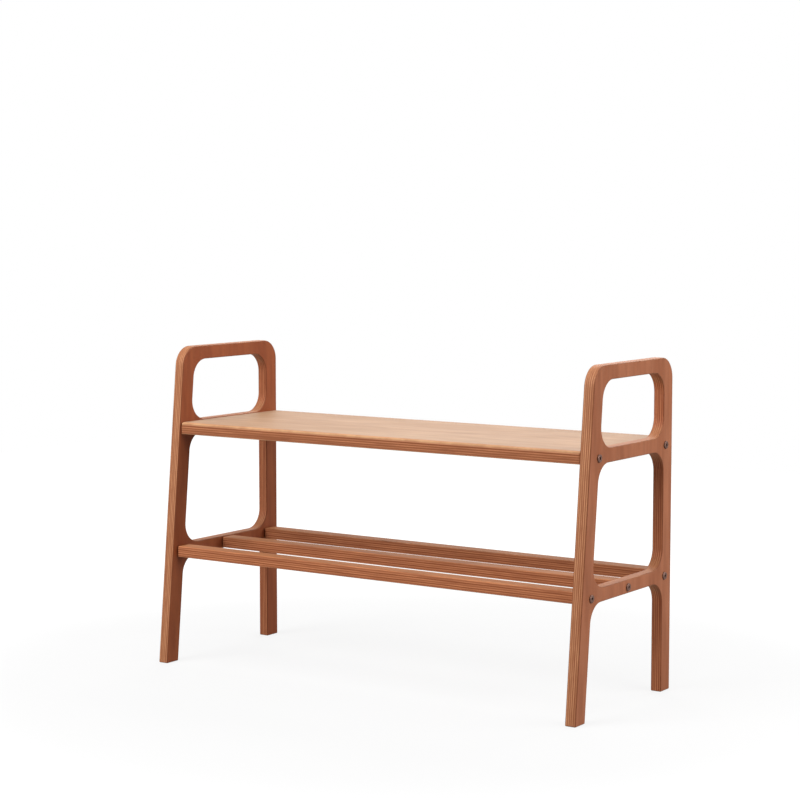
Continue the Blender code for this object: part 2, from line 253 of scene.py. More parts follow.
class FixingFinish(PropertyGroup):
    """Bolts, inserts and dowels."""

    bolt: colour("Bolt", "Burnished bolts", (0.25, 0.145, 0.115))
    bolt_dark: colour("Bolt, dark", "Darker patches on the bolts", (0.15, 0.080, 0.062))
    bolt_roughness: share("Bolt roughness", "Roughness of the bolts", 0.52)
    brass: colour("Insert", "Brass of the inserts", (0.60, 0.44, 0.20))
    brass_dark: colour("Insert, dark", "Tarnish on the inserts", (0.34, 0.22, 0.09))
    brass_roughness: share("Insert roughness", "Roughness of the inserts", 0.32)
    dowel: colour("Dowel", "Plain beech of the dowels", (0.60, 0.40, 0.24))
    dowel_dark: colour("Dowel, dark", "Grain of the dowels", (0.45, 0.27, 0.14))
    dowel_roughness: share("Dowel roughness", "Roughness of the dowels", 0.6)


class StudioSettings(PropertyGroup):
    """Camera, light and floor."""

    aim: FloatVectorProperty(
        name="Aim", description="Point that the camera looks at", default=(-0.0278, 0.0214, 0.4491),
        size=3, subtype="TRANSLATION", unit="LENGTH")
    distance: length("Distance", "Distance from the camera to its aim", 3.3812)
    azimuth: FloatProperty(
        name="Azimuth", description="Camera's turn from the front towards the right",
        default=math.radians(33.9705), subtype="ANGLE", unit="ROTATION")
    elevation: FloatProperty(
        name="Elevation", description="Camera's rise above the horizon",
        default=math.radians(5.1709), subtype="ANGLE", unit="ROTATION")
    lens: FloatProperty(
        name="Lens", description="Focal length in millimetres", default=93.12, min=1.0,
        unit="CAMERA")
    even: FloatProperty(
        name="Even light", description="Soft light from all round", default=0.05, min=0.0)
    key: power("Key", "Power of the soft box at the front left", 84.0)
    side: power("Side", "Power of the soft box at the right", 95.0)
    top: power("Top", "Power of the soft box overhead", 63.0)
    back: power("Back", "Power of the soft box behind the bench", 63.0)
    mirrored: share("Mirrored", "Brightness of the white surround as the finishes mirror it", 0.30)
    floor: colour("Floor", "How the floor takes and returns light", (0.30, 0.30, 0.30))
    floor_white: share(
        "Floor white", "Plain white of the floor as it is seen under the bench", 0.825)
    shadow_reach: length(
        "Shadow reach", "Distance at which the floor has gone to plain white", 1.2)
    floor_shade: share(
        "Floor shade", "How strongly the floor shows light and shadow as it is seen", 0.10)


SETTINGS = {
    "bench_frame": FrameSizes,
    "bench_boards": BoardSizes,
    "bench_fixings": FixingSizes,
    "bench_wood": WoodFinish,
    "bench_fixing_finish": FixingFinish,
    "bench_studio": StudioSettings,
}


# ---------------------------------------------------------------- meshes


def middle_of(name):
    """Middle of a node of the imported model."""
    return [(low + high) / 2 for low, high in zip(*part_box(name))]


def add_object(name, data):
    """New object in the scene."""
    piece = bpy.data.objects.new(name, data)
    bpy.context.scene.collection.objects.link(piece)
    return piece


def store(shape, name):
    """Mesh out of a bmesh, which is used up."""
    mesh = bpy.data.meshes.new(name)
    shape.to_mesh(mesh)
    shape.free()
    return mesh


def smooth_mesh(shape, name):
    """Clean a bmesh, turn its faces outwards and store it, smooth shaded."""
    bmesh.ops.remove_doubles(shape, verts=shape.verts, dist=WELD)
    bmesh.ops.recalc_face_normals(shape, faces=shape.faces)
    mesh = store(shape, name)
    mesh.shade_smooth()
    return mesh


def settle(piece, name):
    """Make a plain mesh piece at the origin out of an object and its modifiers."""
    weigh = piece.modifiers.new("weigh", "WEIGHTED_NORMAL")
    weigh.keep_sharp = True
    graph = bpy.context.evaluated_depsgraph_get()
    mesh = bpy.data.meshes.new_from_object(
        piece.evaluated_get(graph), preserve_all_data_layers=True, depsgraph=graph)
    mesh.name = name
    bpy.data.objects.remove(piece, do_unlink=True)
    return add_object(name, mesh)


def dress(piece, material):
    """Give a piece one material."""
    piece.data.materials.clear()
    piece.data.materials.append(material)


def place_piece(piece, material, slot, *nodes):
    """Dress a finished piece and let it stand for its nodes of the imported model."""
    dress(piece, material)
    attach(piece, BODY)
    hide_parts(*nodes)


def join(shape, rings):
    """Walls between each ring of points and the next."""
    for ring, after in zip(rings, rings[1:]):
        for here in range(len(ring)):
            ahead = (here + 1) % len(ring)
            shape.faces.new((ring[here], ring[ahead], after[ahead], after[here]))


def rounded(corners, steps):
    """Outline through (y, z, radius) corners, with an arc of so many steps at each."""
    outline = []
    for index, (y, z, radius) in enumerate(corners):
        corner = Vector((y, z))
        to_last = (Vector(corners[index - 1][:2]) - corner).normalized()
        to_next = (Vector(corners[(index + 1) % len(corners)][:2]) - corner).normalized()
        half = to_last.angle(to_next) / 2
        centre = corner + (to_last + to_next).normalized() * radius / math.sin(half)
        start = corner + to_last * radius / math.tan(half) - centre
        turn = (math.pi - 2 * half) * (1 if to_last.cross(to_next) < 0 else -1)
        for step in range(steps + 1):
            outline.append(centre + Matrix.Rotation(turn * step / steps, 2) @ start)
    return outline


def inset(corners, depth):
    """Move the sides of a corner list to their left, which is into the wood."""
    moved = []
    for index, (y, z, radius) in enumerate(corners):
        corner = Vector((y, z))
        ahead = (Vector(corners[(index + 1) % len(corners)][:2]) - corner).normalized()
        behind = (corner - Vector(corners[index - 1][:2])).normalized()
        turn = behind.cross(ahead)
        slide = depth / math.cos(behind.angle(ahead) / 2)
        inward = (Vector((-ahead.y, ahead.x)) + Vector((-behind.y, behind.x))).normalized()
        moved.append((*(corner + inward * slide), max(radius - math.copysign(depth, turn), 0.0)))
    return moved


def frame_corners(sizes, bolts):
    """Corner lists of a side frame: its outline round the feet, its openings and bolt holes."""
    back, height = FRAME_HIGH.y, FRAME_HIGH.z
    inner_back = back - sizes.leg_width
    floor_depth = 2 * back
    lean = (floor_depth - sizes.depth_at_top) / height

    def front(z):
        return back - floor_depth + lean * z

    def inner_front(z):
        return front(z) + sizes.leg_width

    def opening(bottom, top):
        radius = sizes.opening_radius
        return [
            (inner_front(bottom), bottom, radius),
            (inner_front(top), top, radius),
            (inner_back, top, radius),
            (inner_back, bottom, radius),
        ]

    gap_top = sizes.rack_bar_top - sizes.rack_bar
    outer = [
        (back, 0.0, sizes.ease),
        (back, height, sizes.outer_radius),
        (front(height), height, sizes.outer_radius),
        (front(0.0), 0.0, sizes.ease),
        (inner_front(0.0), 0.0, sizes.ease),
        (inner_front(gap_top), gap_top, sizes.opening_radius),
        (inner_back, gap_top, sizes.opening_radius),
        (inner_back, 0.0, sizes.ease),
    ]
    handle = opening(sizes.seat_bar_top, height - sizes.top_bar)
    middle = opening(sizes.rack_bar_top, sizes.seat_bar_top - sizes.seat_bar)
    holes = [
        [(y - r, z - r, r), (y - r, z + r, r), (y + r, z + r, r), (y + r, z - r, r)]
        for y, z, r in bolts
    ]
    return [outer, handle, middle, *holes]


def frame_mesh(name, low_x, high_x, sizes, bolts):
    """Side frame with every arris eased, as rings of its outlines from one face to the other."""
    shape = bmesh.new()
    steps = sizes.ease_steps
    easing = []
    for step in range(steps + 1):
        angle = math.pi / 2 * step / steps
        easing.append((sizes.ease * (1 - math.sin(angle)), sizes.ease * (1 - math.cos(angle))))
    levels = [(low_x + rise, depth) for depth, rise in easing]
    levels += [(high_x - rise, depth) for depth, rise in reversed(easing)]
    for corners in frame_corners(sizes, bolts):
        rings = []
        for x, depth in levels:
            outline = rounded(inset(corners, depth), sizes.corner_steps)
            rings.append([shape.verts.new((x, point.x, point.y)) for point in outline])
        join(shape, rings)
    bmesh.ops.remove_doubles(shape, verts=shape.verts, dist=WELD)
    for x in (low_x, high_x):
        rim = [
            edge for edge in shape.edges
            if edge.is_boundary and abs(edge.verts[0].co.x - x) < WELD]
        bmesh.ops.triangle_fill(shape, use_beauty=True, edges=rim)
    return smooth_mesh(shape, name)


def board_mesh(name, low, high, top_round, end_round, lower_ease):
    """Plain board with the weights that its rounding follows, and the widest rounding."""
    shape = bmesh.new()
    bmesh.ops.create_cube(shape, size=1.0)
    bmesh.ops.scale(shape, vec=high - low, verts=shape.verts)
    bmesh.ops.translate(shape, vec=(low + high) / 2, verts=shape.verts)
    widest = max(top_round, end_round, lower_ease)
    weight = shape.edges.layers.float.new("bevel_weight_edge")
    middle = (low.z + high.z) / 2
    for edge in shape.edges:
        start, end = (vert.co for vert in edge.verts)
        if max(start.z, end.z) < middle:
            edge[weight] = lower_ease / widest
        elif start.x == end.x:
            edge[weight] = end_round / widest
        else:
            edge[weight] = top_round / widest
    return smooth_mesh(shape, name), widest


def add_board(name, low, high, top_round, end_round, sizes):
    """Board with rounded edges."""
    mesh, widest = board_mesh(name, low, high, top_round, end_round, sizes.lower_ease)
    board = add_object(name, mesh)
    rounding = board.modifiers.new("rounding", "BEVEL")
    rounding.width = widest
    rounding.segments = sizes.round_steps
    rounding.limit_method = "WEIGHT"
    return board


def drill_mesh(name, holes, fixings):
    """Cutters along X, one for each (hidden fixing, mouth) hole."""
    shape = bmesh.new()
    for hidden, mouth in holes:
        low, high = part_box(hidden)
        _, y, z = middle_of(hidden)
        radius = (high.z - low.z) / 2 + fixings.gap
        ends = sorted((low.x - fixings.gap, high.x + fixings.gap, mouth))
        lay = Matrix.Translation(((ends[0] + ends[-1]) / 2, y, z))
        bmesh.ops.create_cone(
            shape, cap_ends=True, segments=fixings.hole_sides, radius1=radius, radius2=radius,
            depth=ends[-1] - ends[0], matrix=lay @ Matrix.Rotation(math.pi / 2, 4, "Y"))
    return store(shape, name)


def drilled(board, name, holes, fixings):
    """Cut the holes of the hidden fixings out of a board and make a plain piece of it."""
    drill_name = f"drill_{board.name}"
    drill = add_object(drill_name, drill_mesh(drill_name, holes, fixings))
    cut = board.modifiers.new("drilling", "BOOLEAN")
    cut.object = drill
    cut.operation = "DIFFERENCE"
    cut.solver = "EXACT"
    piece = settle(board, name)
    bpy.data.objects.remove(drill, do_unlink=True)
    return piece


def board_holes(kind, places):
    """Holes in the ends of a board for its inserts or its dowels."""
    return [
        (f"{kind}_{place}_{side}", sign * (FRAME_LOW.x + THROUGH))
        for place in places for side, sign in SIDES.items()]


# ---------------------------------------------------------------- shader helpers


def node(tree, kind, inputs=None, **settings):
    """Add a node, set it up, and link or set its inputs by name or number."""
    made = tree.nodes.new(kind)
    for key, value in settings.items():
        setattr(made, key, value)
    for key, value in (inputs or {}).items():
        if isinstance(value, bpy.types.NodeSocket):
            tree.links.new(value, made.inputs[key])
        else:
            made.inputs[key].default_value = value
    return made


def add_sockets(tree, way, kinds):
    """Name the inputs or outputs of a group, given by their kinds."""
    for kind, names in kinds.items():
        for name in names:
            tree.interface.new_socket(name, in_out=way, socket_type=kind)


def calc(tree, operation, *values, clamp=False):
    """Sum on one or two numbers."""
    inputs = dict(enumerate(values))
    made = node(tree, "ShaderNodeMath", inputs, operation=operation, use_clamp=clamp)
    return made.outputs[0]


def less(tree, value):
    """What a share leaves of one."""
    return calc(tree, "SUBTRACT", 1.0, value)


def spread(tree, value, amount):
    """Swing of a value about one half, so many times as wide."""
    return calc(tree, "MULTIPLY", calc(tree, "SUBTRACT", value, 0.5), amount)


def multiplied(tree, a, b):
    """Two vectors multiplied, part by part."""
    return node(tree, "ShaderNodeVectorMath", {0: a, 1: b}, operation="MULTIPLY").outputs[0]


def apart(tree, vector):
    """The three parts of a vector."""
    return node(tree, "ShaderNodeSeparateXYZ", {0: vector}).outputs


def blend(tree, factor, a, b):
    """Number between a and b."""
    return node(tree, "ShaderNodeMix", {0: factor, 2: a, 3: b}, data_type="FLOAT").outputs[0]


def blend_colour(tree, factor, a, b, way="MIX"):
    """Colour between a and b, or a with b laid over it."""
    made = node(tree, "ShaderNodeMix", {0: factor, 6: a, 7: b}, data_type="RGBA", blend_type=way)
    return made.outputs[2]


def stretched(tree, place, periods, detail=2.0, roughness=0.5):
    """Noise that is drawn out by the given periods per metre along each direction."""
    noise = node(tree, "ShaderNodeTexNoise", {
        "Vector": multiplied(tree, place, periods), "Scale": 1.0, "Detail": detail,
        "Roughness": roughness})
    return noise.outputs[0]


def ramp(tree, value, low, high, to_low=0.0, to_high=1.0):
    """Smooth step of a value from one range to another."""
    made = node(tree, "ShaderNodeMapRange", {
        "Value": value, "From Min": low, "From Max": high, "To Min": to_low, "To Max": to_high},
        interpolation_type="SMOOTHSTEP")
    return made.outputs[0]


def rgba(value):
    """Colour with full cover, as the nodes take it."""
    return (*value, 1.0)


def new_material(name):
    """New material with its tree and its shader."""
    material = bpy.data.materials.new(name)
    material.use_nodes = True
    tree = material.node_tree
    return material, tree, tree.nodes["Principled BSDF"]


def link_finish(tree, shader, tone, roughness, height, bump):
    """Link a finish to its shader, with a bump that follows its height."""
    normal = node(tree, "ShaderNodeBump", {**bump, "Height": height}).outputs[0]
    for key, value in (("Base Color", tone), ("Roughness", roughness), ("Normal", normal)):
        tree.links.new(value, shader.inputs[key])


# ---------------------------------------------------------------- finishes


def crosswise(periods):
    """Periods of the plies that are laid across the face grain."""
    along, across, through = periods
    return across, along, through


def plywood_group():
    """Solid plywood: plies through Z, face grain along X, crossed plies along Y."""
    tree = bpy.data.node_groups.new("stained_plywood", "ShaderNodeTree")
    add_sockets(tree, "INPUT", {
        "NodeSocketVector": ("Place", "Facing"),
        "NodeSocketFloat": (
            "Thickness", "Plies", "Seed", "Roughness", "Outer crossed", "Contrast", "Arris share"),
        "NodeSocketColor": ("Face", "Deep face", "Light ply", "Dark ply", "Arris", "Inside")})
    add_sockets(tree, "OUTPUT", {
        "NodeSocketColor": ("Color",), "NodeSocketFloat": ("Roughness", "Height")})
    given = tree.nodes.new("NodeGroupInput").outputs
    place = given["Place"]
    _, across, through = apart(tree, place)
    turned = apart(tree, given["Facing"])[1]
    facing = apart(tree, multiplied(tree, given["Facing"], given["Facing"]))

    # Plies, which waver a little
    waver = spread(tree, stretched(tree, place, WAVER), WAVER_SWING)
    level = calc(tree, "DIVIDE", calc(tree, "ADD", through, waver), given["Thickness"])
    level = calc(tree, "ADD", level, 0.5, clamp=True)
    stack = calc(tree, "MULTIPLY", level, given["Plies"])
    last = calc(tree, "SUBTRACT", given["Plies"], 1.0)
    ply = calc(tree, "MINIMUM", calc(tree, "FLOOR", stack), last)
    crossed = calc(tree, "FLOORED_MODULO", calc(tree, "ADD", ply, given["Outer crossed"]), 2.0)
    tone = node(
        tree, "ShaderNodeTexWhiteNoise", {"W": calc(tree, "ADD", ply, given["Seed"])},
        noise_dimensions="1D").outputs[0]
    in_ply = calc(tree, "SUBTRACT", calc(tree, "SUBTRACT", stack, ply), 0.5)
    glue = ramp(tree, calc(tree, "ABSOLUTE", in_ply), *GLUE_LINE)

    # Fibres, along X, and along Y in the crossed plies
    fine_along = stretched(tree, place, FINE_FIBRES)
    fine = blend(tree, crossed, fine_along, stretched(tree, place, crosswise(FINE_FIBRES)))
    broad_along = stretched(tree, place, BROAD_FIBRES)
    broad = blend(tree, crossed, broad_along, stretched(tree, place, crosswise(BROAD_FIBRES)))
    flat = calc(tree, "MAXIMUM", calc(tree, "ADD", facing[0], facing[1]), LEAST_FLAT)
    end_grain = calc(tree, "DIVIDE", blend(tree, crossed, facing[0], facing[1]), flat)

    # Edge: light along the fibres, dark across them
    with_grain = calc(tree, "SUBTRACT", 0.5, end_grain)
    edge = calc(tree, "ADD", 0.5, calc(tree, "MULTIPLY", with_grain, given["Contrast"]))
    edge = calc(tree, "ADD", edge, spread(tree, tone, PLY_SWING))
    streak = calc(tree, "ADD", spread(tree, broad, BROAD_STREAK), spread(tree, fine, FINE_STREAK))
    streak = calc(tree, "MULTIPLY", streak, less(tree, end_grain))
    edge = calc(tree, "ADD", edge, streak)
    edge = calc(tree, "SUBTRACT", edge, calc(tree, "MULTIPLY", glue, GLUE_SHADE), clamp=True)
    edge_colour = blend_colour(tree, edge, given["Dark ply"], given["Light ply"])

    # Painted shade: walls of the openings, which face the middle of the board, are tinted darker
    # and redder
    inward = calc(tree, "MULTIPLY", calc(tree, "MULTIPLY", across, turned), -1.0)
    wall_shade = ramp(tree, inward, *WALL_SHADE_REACH)
    edge_colour = blend_colour(tree, wall_shade, edge_colour, given["Inside"], way="MULTIPLY")

    # Face: mottled stain over faint grain
    stain = ramp(tree, stretched(tree, place, STAIN_CLOUDS, detail=CLOUDY), *STAIN_RANGE)
    mottle = stretched(tree, place, MOTTLE, detail=CLOUDY, roughness=MOTTLE_ROUGHNESS)
    face_tone = 1.0
    for grain, swing in ((mottle, FACE_MOTTLE), (broad_along, FACE_BROAD), (fine_along, FACE_FINE)):
        face_tone = calc(tree, "ADD", face_tone, spread(tree, grain, swing))
    face_colour = blend_colour(tree, stain, given["Deep face"], given["Face"])
    face_colour = node(
        tree, "ShaderNodeVectorMath", {0: face_colour, 3: face_tone}, operation="SCALE").outputs[0]
    on_face = ramp(tree, facing[2], *FACE_TURN)
    wood = blend_colour(tree, on_face, edge_colour, face_colour)

    # Arrises in patches, most of all halfway from the face to the edge: a painted highlight on the
    # seat and the rails, darker on the frames
    arris = calc(tree, "MULTIPLY", facing[2], less(tree, facing[2]))
    arris = calc(tree, "MULTIPLY", arris, ARRIS_GAIN)
    spots = ramp(tree, stretched(tree, place, ARRIS_PATCHES), *ARRIS_PATCH_RANGE)
    arris_cover = calc(tree, "MULTIPLY", calc(tree, "MULTIPLY", arris, spots), given["Arris share"])
    wood = blend_colour(tree, arris_cover, wood, given["Arris"])

    rough = calc(tree, "ADD", given["Roughness"], spread(tree, fine, FIBRE_ROUGHNESS))
    rough = calc(tree, "ADD", rough, calc(tree, "MULTIPLY", end_grain, END_ROUGHNESS))
    glue_grooves = calc(tree, "MULTIPLY", glue, less(tree, on_face))
    height = calc(tree, "SUBTRACT", fine, glue_grooves)
    node(tree, "NodeGroupOutput", {"Color": wood, "Roughness": rough, "Height": height})
    return tree


def plywood(name, low, high, seed, gloss, finish, colours, upright=False):
    """Plywood of one board, whose plies lie flat, or stand in an upright board."""
    group = bpy.data.node_groups.get("stained_plywood") or plywood_group()
    material, tree, shader = new_material(name)
    turn = UPRIGHT if upright else (0.0, 0.0, 0.0)
    shift = (0.0, 0.0, -(low + high) / 2)
    source = tree.nodes.new("ShaderNodeTexCoord").outputs
    place = node(tree, "ShaderNodeMapping", {
        "Vector": source["Object"], "Location": shift, "Rotation": turn}, vector_type="POINT")
    facing = node(tree, "ShaderNodeMapping", {
        "Vector": source["Normal"], "Rotation": turn}, vector_type="POINT")
    ply = node(tree, "ShaderNodeGroup", {
        "Place": place.outputs[0], "Facing": facing.outputs[0], "Thickness": high - low,
        "Seed": seed, **finish, **{key: rgba(value) for key, value in colours.items()}},
        node_tree=group).outputs
    link_finish(tree, shader, ply["Color"], ply["Roughness"], ply["Height"], WOOD_BUMP)
    shader.inputs["Specular IOR Level"].default_value = gloss
    return material


def mottled(name, light, dark, periods, roughness, metallic):
    """Finish that varies between two tones, drawn out along given directions."""
    material, tree, shader = new_material(name)
    place = tree.nodes.new("ShaderNodeTexCoord").outputs["Object"]
    spots = stretched(tree, place, periods, detail=CLOUDY)
    tone = blend_colour(tree, ramp(tree, spots, *SPOT_RANGE), rgba(dark), rgba(light))
    rough = ramp(
        tree, spots, *SPOT_ROUGH_RANGE, roughness + SPOT_ROUGHNESS, roughness - SPOT_ROUGHNESS)
    link_finish(tree, shader, tone, rough, spots, SPOT_BUMP)
    shader.inputs["Metallic"].default_value = metallic
    return material


# ---------------------------------------------------------------- geometry nodes


def new_tree(name, inputs):
    """Geometry tree with inputs named by their kinds, and the sockets that give them."""
    tree = bpy.data.node_groups.new(name, "GeometryNodeTree")
    tree.is_modifier = True
    add_sockets(tree, "INPUT", {"NodeSocketGeometry": ("Geometry",), **inputs})
    add_sockets(tree, "OUTPUT", {"NodeSocketGeometry": ("Geometry",)})
    return tree, tree.nodes.new("NodeGroupInput").outputs


def finish_tree(tree, instances, material):
    """End a tree with plain, dressed meshes."""
    plain = node(tree, "GeometryNodeRealizeInstances", {0: instances})
    dressed = node(tree, "GeometryNodeSetMaterial", {
        "Geometry": plain.outputs[0], "Material": material})
    node(tree, "NodeGroupOutput", {0: dressed.outputs[0]})


def run_tree(piece, tree, values):
    """Put a tree on an object, with its inputs set by their identifiers."""
    modifier = piece.modifiers.new(tree.name, "NODES")
    modifier.node_group = tree
    for item in tree.interface.items_tree:
        if item.in_out == "INPUT" and item.name in values:
            modifier[item.identifier] = values[item.name]


def rails_tree():
    """Rails: one bar, which lies where the first rail does, set out at even steps."""
    tree, given = new_tree("rack_rails", {
        "NodeSocketObject": ("Bar",), "NodeSocketVector": ("Step",),
        "NodeSocketInt": ("Count",), "NodeSocketMaterial": ("Finish",)})
    bar = node(tree, "GeometryNodeObjectInfo", {"Object": given["Bar"]})
    line = node(tree, "GeometryNodeMeshLine", {"Count": given["Count"], "Offset": given["Step"]})
    set_out = node(tree, "GeometryNodeInstanceOnPoints", {
        "Points": line.outputs[0], "Instance": bar.outputs["Geometry"]})
    finish_tree(tree, set_out.outputs[0], given["Finish"])
    return tree


def bolts_tree():
    """Bolts: one on each point, laid along the point's own direction and turned by chance."""
    tree, given = new_tree("connector_bolts", {
        "NodeSocketObject": ("Bolt",), "NodeSocketInt": ("Seed",),
        "NodeSocketMaterial": ("Finish",)})
    bolt = node(tree, "GeometryNodeObjectInfo", {"Object": given["Bolt"]})
    outward = node(
        tree, "GeometryNodeInputNamedAttribute", {"Name": "outward"}, data_type="FLOAT_VECTOR")
    chance = node(
        tree, "FunctionNodeRandomValue", {"Seed": given["Seed"], 3: math.tau}, data_type="FLOAT")
    lay = node(tree, "FunctionNodeAlignRotationToVector", {"Vector": outward.outputs[0]}, axis="Z")
    spin = node(tree, "FunctionNodeAxisAngleToRotation", {
        "Axis": (0.0, 0.0, 1.0), "Angle": chance.outputs[1]})
    turn = node(
        tree, "FunctionNodeRotateRotation", {0: lay.outputs[0], 1: spin.outputs[0]},
        rotation_space="LOCAL")
    set_out = node(tree, "GeometryNodeInstanceOnPoints", {
        "Points": given["Geometry"], "Instance": bolt.outputs["Geometry"],
        "Rotation": turn.outputs[0]})
    finish_tree(tree, set_out.outputs[0], given["Finish"])
    return tree


# ---------------------------------------------------------------- operators


class BENCH_OT_side_frames(Operator):
    """Build the two side frames"""

    bl_idname = "bench.side_frames"
    bl_label = "Side Frames"

    def execute(self, context):
        scene = context.scene
        sizes, fixings, wood = scene.bench_frame, scene.bench_fixings, scene.bench_wood
        finish = {
            "Plies": wood.plies, "Contrast": wood.contrast, "Roughness": wood.roughness,
            "Arris share": wood.frame_arris_darkening, "Outer crossed": 1.0}
        # The left frame takes the darker copy of the face colours, as painted shade
        faces = {
            "left": {"Face": wood.shaded_left_face, "Deep face": wood.shaded_left_deep},
            "right": {"Face": wood.face, "Deep face": wood.face_deep}}
        # The edges of the frames, with painted shade on the walls of the openings
        edges = {
            "Light ply": wood.light_ply, "Dark ply": wood.dark_ply, "Arris": wood.stained,
            "Inside": wood.inside}
        for side, sign in SIDES.items():
            name = f"side_frame_{side}"
            low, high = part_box(name)
            bolts = []
            for place in BOLTED:
                _, y, z = middle_of(f"bolt_{place}_{side}")
                bolts.append((y, z, fixings.shank / 2 + fixings.gap))
            board = add_object(name, frame_mesh(name, low.x, high.x, sizes, bolts))
            mouth = sign * (FRAME_LOW.x - THROUGH)
            dowels = [(f"dowel_{place}_{side}", mouth) for place in SEAT_FIXINGS]
            piece = drilled(board, f"frame_{side}", dowels, fixings)
            plies = plywood(
                f"frame_plywood_{side}", low.x, high.x, FRAME_SEED + sign, wood.gloss, finish,
                {**faces[side], **edges}, upright=True)
            place_piece(piece, plies, "frame_plywood", name)
        return {"FINISHED"}


class BENCH_OT_seat(Operator):
    """Build the seat board"""

    bl_idname = "bench.seat"
    bl_label = "Seat Board"

    def execute(self, context):
        scene = context.scene
        sizes, fixings, wood = scene.bench_boards, scene.bench_fixings, scene.bench_wood
        low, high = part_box("seat_board")
        board = add_board("seat", low, high, sizes.seat_round, sizes.seat_end, sizes)
        holes = board_holes("insert", SEAT_FIXINGS) + board_holes("dowel", SEAT_FIXINGS)
        piece = drilled(board, "seat", holes, fixings)
        finish = {
            "Plies": wood.plies, "Contrast": wood.contrast, "Roughness": wood.roughness,
            "Arris share": wood.seat_edge_highlight, "Outer crossed": 0.0}
        # The rounded edges of the seat take the painted highlight
        colours = {
            "Face": wood.sheen_seat_face, "Deep face": wood.sheen_seat_deep, "Light ply": wood.seat_light,
            "Dark ply": wood.seat_dark, "Arris": wood.painted_edge_highlight, "Inside": WHITE}
        plies = plywood(
            "seat_plywood", low.z, high.z, SEAT_SEED, wood.seat_gloss, finish, colours)
        place_piece(piece, plies, "seat_plywood", "seat_board")
        return {"FINISHED"}


class BENCH_OT_rails(Operator):
    """Build the three rails of the rack"""

    bl_idname = "bench.rails"
    bl_label = "Rack Rails"

    def execute(self, context):
        scene = context.scene
        sizes, fixings, wood = scene.bench_boards, scene.bench_fixings, scene.bench_wood
        low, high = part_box(RAILS[0])
        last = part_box(RAILS[-1])[0]
        bar = add_board("rail_bar", low, high, sizes.rail_round, sizes.rail_end, sizes)
        finish = {
            "Plies": wood.plies, "Contrast": wood.rail_contrast, "Roughness": wood.rail_roughness,
            "Arris share": wood.rail_edge_highlight, "Outer crossed": 0.0}
        # The rounded edges of the rails take a little of the painted highlight
        colours = {
            "Face": wood.rail_face, "Deep face": wood.rail_deep, "Light ply": wood.rail_light,
            "Dark ply": wood.rail_dark, "Arris": wood.painted_edge_highlight, "Inside": WHITE}
        plies = plywood(
            "rail_plywood", low.z, high.z, RAIL_SEED, wood.rail_gloss, finish, colours)
        rails = add_object("rails", bpy.data.meshes.new("rails"))
        step = (last.y - low.y) / (len(RAILS) - 1)
        run_tree(rails, rails_tree(), {
            "Bar": bar, "Step": (0.0, step, 0.0), "Count": len(RAILS), "Finish": plies})
        piece = drilled(rails, "rack_rails", board_holes("insert", RAILS), fixings)
        bpy.data.objects.remove(bar, do_unlink=True)
        place_piece(piece, plies, "rail_plywood", *RAILS)
        return {"FINISHED"}


class BENCH_OT_bolts(Operator):
    """Build the connector bolts"""

    bl_idname = "bench.bolts"
    bl_label = "Connector Bolts"

    def execute(self, context):
        scene = context.scene
        sizes, finish = scene.bench_fixings, scene.bench_fixing_finish
        low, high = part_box("bolt_seat_front_right")
        bolt = add_object("bolt", self.bolt_mesh(sizes, high.x - low.x))
        metal = mottled(
            "bolt_metal", finish.bolt, finish.bolt_dark, BOLT_SPOTS, finish.bolt_roughness, 1.0)
        nodes, points, outward = [], [], []
        for side, sign in SIDES.items():
            for place in BOLTED:
                nodes.append(f"bolt_{place}_{side}")
                low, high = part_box(nodes[-1])
                _, y, z = middle_of(nodes[-1])
                head = high.x - sizes.head_height if sign > 0 else low.x + sizes.head_height
                points.append((head, y, z))
                outward += [sign, 0.0, 0.0]
        mesh = bpy.data.meshes.new("bolts")
        mesh.from_pydata(points, [], [])
        directions = mesh.attributes.new("outward", "FLOAT_VECTOR", "POINT")
        directions.data.foreach_set("vector", outward)
        bolts = add_object("bolts", mesh)
        run_tree(bolts, bolts_tree(), {"Bolt": bolt, "Seed": sizes.seed, "Finish": metal})
        piece = settle(bolts, "connector_bolts")
        bpy.data.objects.remove(bolt, do_unlink=True)
        place_piece(piece, metal, "bolt_metal", *nodes)
        return {"FINISHED"}

    @staticmethod
    def bolt_mesh(sizes, whole):
        """Bolt along Z, with the underside of its domed head at zero and a socket in its top."""
        head, face, shank = sizes.head / 2, sizes.face / 2, sizes.shank / 2
        top, rim, ease = sizes.head_height, sizes.rim_height, sizes.rim_ease
        tip = top - whole
        outside = [(face, top)]
        for step in range(1, sizes.dome_steps + 1):
            angle = math.pi / 2 * step / sizes.dome_steps
            outside.append((
                face + (head - face) * math.sin(angle), rim + (top - rim) * math.cos(angle)))
        outside += [
            (head, ease), (head - ease, 0.0), (shank, 0.0), (shank, tip + sizes.tip),
            (shank - sizes.tip, tip)]
        corner, lip = sizes.socket / math.sqrt(3), sizes.socket_lip
        socket = [(corner + lip, top), (corner, top - lip), (corner, top - sizes.socket_depth)]
        shape = bmesh.new()
        for profile, sides in ((outside, sizes.bolt_sides), (socket, SOCKET_SIDES)):
            turns = [math.tau * side / sides for side in range(sides)]
            rings = [
                [shape.verts.new((r * math.cos(turn), r * math.sin(turn), z)) for turn in turns]
                for r, z in profile]
            join(shape, rings)
            shape.faces.new(rings[-1])
        face_edges = [edge for edge in shape.edges if edge.is_boundary]
        bmesh.ops.triangle_fill(shape, use_beauty=True, edges=face_edges)
        mesh = smooth_mesh(shape, "bolt")
        mesh.set_sharp_from_angle(angle=SHARP)
        return mesh


